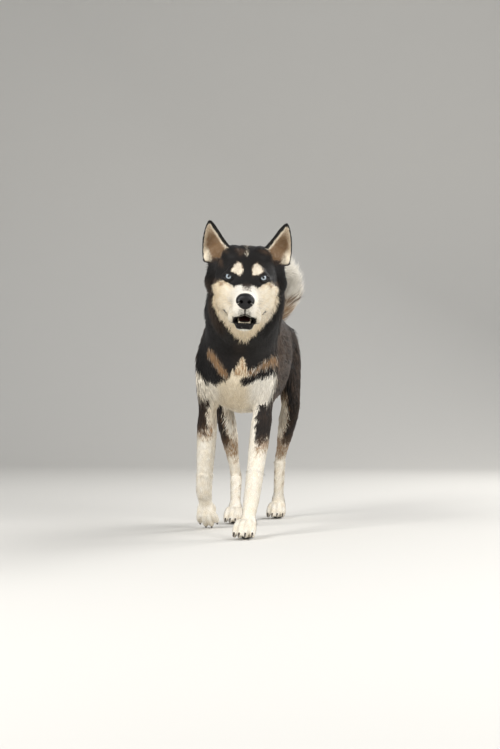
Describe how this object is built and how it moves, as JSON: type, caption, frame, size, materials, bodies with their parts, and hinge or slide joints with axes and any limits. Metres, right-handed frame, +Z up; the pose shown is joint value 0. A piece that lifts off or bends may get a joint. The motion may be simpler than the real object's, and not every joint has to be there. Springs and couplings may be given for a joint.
{
  "type": "siberian husky",
  "caption": "Life-size siberian husky, black and white, walking towards the viewer with its tail curled over its back.",
  "frame": {"origin": "on the floor, under the middle of the animal's bounding box", "axes": "+Z up, the muzzle points along -Y, the dog's own left side is +X"},
  "size_m": [0.2764, 0.9278, 0.7185],
  "materials": {
    "black_coat": "dense matt double coat, near black with brown tips",
    "white_coat": "matt white to cream coat",
    "tan_cream_coat": "long matt cream and tan brush",
    "nose_leather": "moist black pebbled skin",
    "pale_blue_eye": "wet, glossy, ice-blue iris with a small black pupil",
    "tongue_flesh": "moist pink flesh"
  },
  "bodies": {
    "root": {"ear_left": "black_coat", "ear_right": "black_coat", "eye_left": "pale_blue_eye", "eye_right": "pale_blue_eye", "fore_left_forearm": "white_coat", "fore_left_paw": "white_coat", "fore_left_upper_arm": "black_coat", "fore_right_forearm": "white_coat", "fore_right_paw": "white_coat", "fore_right_upper_arm": "black_coat", "head": "black_coat", "hind_left_paw": "white_coat", "hind_left_shank": "white_coat", "hind_left_thigh": "black_coat", "hind_right_paw": "white_coat", "hind_right_shank": "white_coat", "hind_right_thigh": "black_coat", "lower_jaw": "white_coat", "neck": "black_coat", "nose": "nose_leather", "tail_base": "tan_cream_coat", "tail_middle": "tan_cream_coat", "tail_tip": "tan_cream_coat", "tongue": "tongue_flesh", "torso": "black_coat"}
  },
  "joints": []
}
